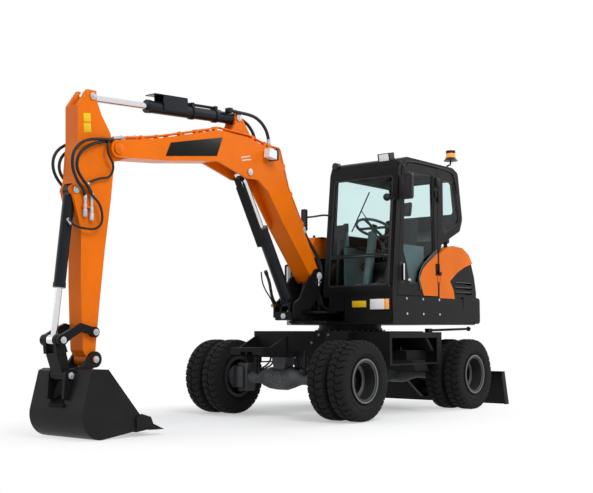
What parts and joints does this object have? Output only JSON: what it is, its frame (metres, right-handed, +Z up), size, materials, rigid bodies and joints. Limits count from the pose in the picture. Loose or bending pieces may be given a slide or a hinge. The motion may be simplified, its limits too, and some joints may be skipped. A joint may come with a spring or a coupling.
{
  "type": "wheeled excavator",
  "caption": "Compact wheeled excavator: twin tyres, rear blade, slewing house with closed cab, offset-swing boom, arm and toothed bucket.",
  "frame": {"origin": "on the ground under the middle of the whole machine at rest", "axes": "+X forward, towards the bucket; +Y to the machine's left; +Z up"},
  "size_m": [5.893, 2.0845, 2.9879],
  "materials": {
    "dark_paint": "semi-gloss charcoal paint",
    "orange_paint": "gloss orange paint",
    "tyre_rubber": "matt black rubber",
    "rim_paint": "satin grey paint",
    "chrome": "polished chrome",
    "cylinder_paint": "gloss black paint",
    "orange_pipe": "gloss orange paint",
    "tinted_glass": "teal tinted glass",
    "seat_cloth": "black cloth",
    "cab_plastic": "grey-green plastic",
    "engine_iron": "bare dark casting",
    "lamp_lens": "clear lens over white, amber end",
    "trim_black": "black plastic",
    "hose_rubber": "black hose"
  },
  "bodies": {
    "undercarriage": {"chassis": "dark_paint", "slew_ring": "dark_paint", "front_axle": "dark_paint", "rear_axle": "dark_paint", "drive_line": "dark_paint", "lock_cylinders": "cylinder_paint", "side_steps": "dark_paint"},
    "steering_rod": {"steering_rod": "chrome"},
    "knuckle_left": {"knuckle_left": "dark_paint"},
    "knuckle_right": {"knuckle_right": "dark_paint"},
    "blade": {"blade": "dark_paint"},
    "blade_barrel": {"blade_cylinder_barrel": "cylinder_paint"},
    "blade_rod": {"blade_cylinder_rod": "chrome"},
    "upper": {"house_frame": "dark_paint", "side_skirts": "dark_paint", "counterweight": "dark_paint", "cab_shell": "dark_paint", "cab_glass": "tinted_glass", "seat": "seat_cloth", "cab_controls": "cab_plastic", "cowl_panels": "orange_paint", "left_grille": "dark_paint", "right_cowl": "dark_paint", "bulkhead": "dark_paint", "engine_block": "engine_iron", "lamps": "lamp_lens", "mirrors": "trim_black", "handrails": "trim_black"},
    "cab_door": {"cab_door": "dark_paint", "door_glass": "tinted_glass", "door_panel": "orange_paint"},
    "engine_hood": {"engine_hood": "dark_paint"},
    "swing_post": {"swing_post": "dark_paint"},
    "swing_barrel": {"swing_cylinder_barrel": "cylinder_paint"},
    "swing_rod": {"swing_cylinder_rod": "chrome"},
    "boom": {"boom": "orange_paint", "boom_pipes": "orange_pipe", "boom_lamp": "lamp_lens", "arm_hoses": "hose_rubber", "boom_foot_hoses": "hose_rubber"},
    "boom_barrel": {"boom_cylinder_barrel": "cylinder_paint", "boom_cylinder_hose": "hose_rubber"},
    "boom_rod": {"boom_cylinder_rod": "chrome", "boom_rod_guard": "dark_paint"},
    "arm": {"arm": "orange_paint"},
    "arm_barrel": {"arm_cylinder_barrel": "cylinder_paint"},
    "arm_rod": {"arm_cylinder_rod": "chrome"},
    "bucket": {"bucket": "dark_paint"},
    "bucket_barrel": {"bucket_cylinder_barrel": "cylinder_paint"},
    "bucket_rod": {"bucket_cylinder_rod": "chrome"},
    "idler": {"idler_links": "dark_paint"},
    "h_link": {"h_link": "dark_paint"},
    "wheel_front_left": {"tyres_front_left": "tyre_rubber", "rims_front_left": "rim_paint"},
    "wheel_front_right": {"tyres_front_right": "tyre_rubber", "rims_front_right": "rim_paint"},
    "wheel_rear_left": {"tyres_rear_left": "tyre_rubber", "rims_rear_left": "rim_paint"},
    "wheel_rear_right": {"tyres_rear_right": "tyre_rubber", "rims_rear_right": "rim_paint"}
  },
  "joints": [
    {"name": "wheel_front_left_spin", "type": "hinge", "parent": "knuckle_left", "child": "wheel_front_left", "pos_m": [0.043, 0.9275, 0.386], "axis": [0, 1, 0], "continuous": true},
    {"name": "wheel_front_right_spin", "type": "hinge", "parent": "knuckle_right", "child": "wheel_front_right", "pos_m": [0.043, -0.9275, 0.386], "axis": [0, 1, 0], "continuous": true},
    {"name": "wheel_rear_left_spin", "type": "hinge", "parent": "undercarriage", "child": "wheel_rear_left", "pos_m": [-2.057, 0.9275, 0.386], "axis": [0, 1, 0], "continuous": true},
    {"name": "wheel_rear_right_spin", "type": "hinge", "parent": "undercarriage", "child": "wheel_rear_right", "pos_m": [-2.057, -0.9275, 0.386], "axis": [0, 1, 0], "continuous": true},
    {"name": "steer_left", "type": "hinge", "parent": "undercarriage", "child": "knuckle_left", "pos_m": [0.043, 0.575, 0.386], "axis": [0, 0, 1], "range_deg": [-28, 28]},
    {"name": "steer_right", "type": "hinge", "parent": "undercarriage", "child": "knuckle_right", "pos_m": [0.043, -0.575, 0.386], "axis": [0, 0, 1], "range_deg": [-28.05, 28.05]},
    {"name": "steering_rod_slide", "type": "slide", "parent": "undercarriage", "child": "steering_rod", "axis": [0, 1, 0], "range_m": [-0.0897, 0.0897]},
    {"name": "blade_lift", "type": "hinge", "parent": "undercarriage", "child": "blade", "pos_m": [-2.247, 0, 0.47], "axis": [0, 1, 0], "range_deg": [-8, 38]},
    {"name": "blade_cylinder_pivot", "type": "hinge", "parent": "undercarriage", "child": "blade_barrel", "pos_m": [-2.172, 0, 0.7], "axis": [0, 1, 0], "range_deg": [-6.05, 28.55]},
    {"name": "blade_cylinder_slide", "type": "slide", "parent": "blade_barrel", "child": "blade_rod", "axis": [-0.8209, 0, -0.5711], "range_m": [-0.1265, 0.027]},
    {"name": "slew", "type": "hinge", "parent": "undercarriage", "child": "upper", "pos_m": [-1.107, 0, 0.892], "axis": [0, 0, 1], "continuous": true},
    {"name": "cab_door_hinge", "type": "hinge", "parent": "upper", "child": "cab_door", "pos_m": [-1.492, 0.91, 1.94465], "axis": [0, 0, 1], "range_deg": [0, 170]},
    {"name": "engine_hood_hinge", "type": "hinge", "parent": "upper", "child": "engine_hood", "pos_m": [-2.032, 0, 1.76], "axis": [0, 1, 0], "range_deg": [0, 60]},
    {"name": "boom_swing", "type": "hinge", "parent": "upper", "child": "swing_post", "pos_m": [-0.157, 0, 1.005], "axis": [0, 0, 1], "range_deg": [-50, 75]},
    {"name": "swing_cylinder_pivot", "type": "hinge", "parent": "upper", "child": "swing_barrel", "pos_m": [-0.957, -0.24, 1.005], "axis": [0, 0, 1], "range_deg": [-2.55, 3.8]},
    {"name": "swing_cylinder_slide", "type": "slide", "parent": "swing_barrel", "child": "swing_rod", "axis": [0.9999, 0.0126, 0], "range_m": [-0.175, 0.2623]},
    {"name": "boom_lift", "type": "hinge", "parent": "swing_post", "child": "boom", "pos_m": [-0.357, 0, 1.431], "axis": [0, -1, 0], "range_deg": [-60, 40], "deforming": ["boom_foot_hoses"]},
    {"name": "boom_cylinder_pivot", "type": "hinge", "parent": "swing_post", "child": "boom_barrel", "pos_m": [-0.037, 0, 1.135], "axis": [0, -1, 0], "range_deg": [-58.55, 39.05], "deforming": ["boom_cylinder_hose"]},
    {"name": "boom_cylinder_slide", "type": "slide", "parent": "boom_barrel", "child": "boom_rod", "axis": [0.4977, 0, 0.8674], "range_m": [-0.4194, 0.2798]},
    {"name": "arm_swing", "type": "hinge", "parent": "boom", "child": "arm", "pos_m": [2.348, 0, 2.387], "axis": [0, 1, 0], "range_deg": [-72, 40]},
    {"name": "arm_cylinder_pivot", "type": "hinge", "parent": "boom", "child": "arm_barrel", "pos_m": [0.805, 0, 2.915], "axis": [0, 1, 0], "range_deg": [-3.65, 2.05], "deforming": ["arm_hoses"]},
    {"name": "arm_cylinder_slide", "type": "slide", "parent": "arm_barrel", "child": "arm_rod", "axis": [0.9977, 0, -0.0677], "range_m": [-0.478, 0.2658]},
    {"name": "bucket_tilt", "type": "hinge", "parent": "arm", "child": "bucket", "pos_m": [2.558, 0, 0.627], "axis": [0, 1, 0], "range_deg": [-70, 95]},
    {"name": "idler_pivot", "type": "hinge", "parent": "arm", "child": "idler", "pos_m": [2.563, 0, 0.848], "axis": [0, 1, 0], "range_deg": [-45.55, 61.8]},
    {"name": "h_link_pivot", "type": "hinge", "parent": "idler", "child": "h_link", "pos_m": [2.888, 0, 0.786], "axis": [0, 1, 0], "range_deg": [-39.95, 29.45]},
    {"name": "bucket_cylinder_pivot", "type": "hinge", "parent": "arm", "child": "bucket_barrel", "pos_m": [2.757, 0, 1.998], "axis": [0, 1, 0], "range_deg": [-4.6, 6.22]},
    {"name": "bucket_cylinder_slide", "type": "slide", "parent": "bucket_barrel", "child": "bucket_rod", "axis": [0.1075, 0, -0.9942], "range_m": [-0.2204, 0.299]}
  ],
  "couplings": [
    {"joint": "steer_right", "follows": "steer_left", "ratio": 1},
    {"joint": "steering_rod_slide", "follows": "steer_left", "m_per_rad": -0.18253},
    {"joint": "blade_cylinder_pivot", "follows": "blade_lift", "ratio": 0.75},
    {"joint": "blade_cylinder_slide", "follows": "blade_lift", "m_per_rad": -0.19},
    {"joint": "swing_cylinder_pivot", "follows": "boom_swing", "ratio": 0.05},
    {"joint": "swing_cylinder_slide", "follows": "boom_swing", "m_per_rad": 0.2},
    {"joint": "boom_cylinder_pivot", "follows": "boom_lift", "ratio": 0.975},
    {"joint": "boom_cylinder_slide", "follows": "boom_lift", "m_per_rad": 0.4},
    {"joint": "arm_cylinder_pivot", "follows": "arm_swing", "ratio": 0.05},
    {"joint": "arm_cylinder_slide", "follows": "arm_swing", "m_per_rad": 0.38},
    {"joint": "idler_pivot", "follows": "bucket_tilt", "ratio": 0.65},
    {"joint": "h_link_pivot", "follows": "bucket_tilt", "ratio": -0.42},
    {"joint": "bucket_cylinder_pivot", "follows": "bucket_tilt", "ratio": 0.065},
    {"joint": "bucket_cylinder_slide", "follows": "bucket_tilt", "m_per_rad": 0.18}
  ]
}
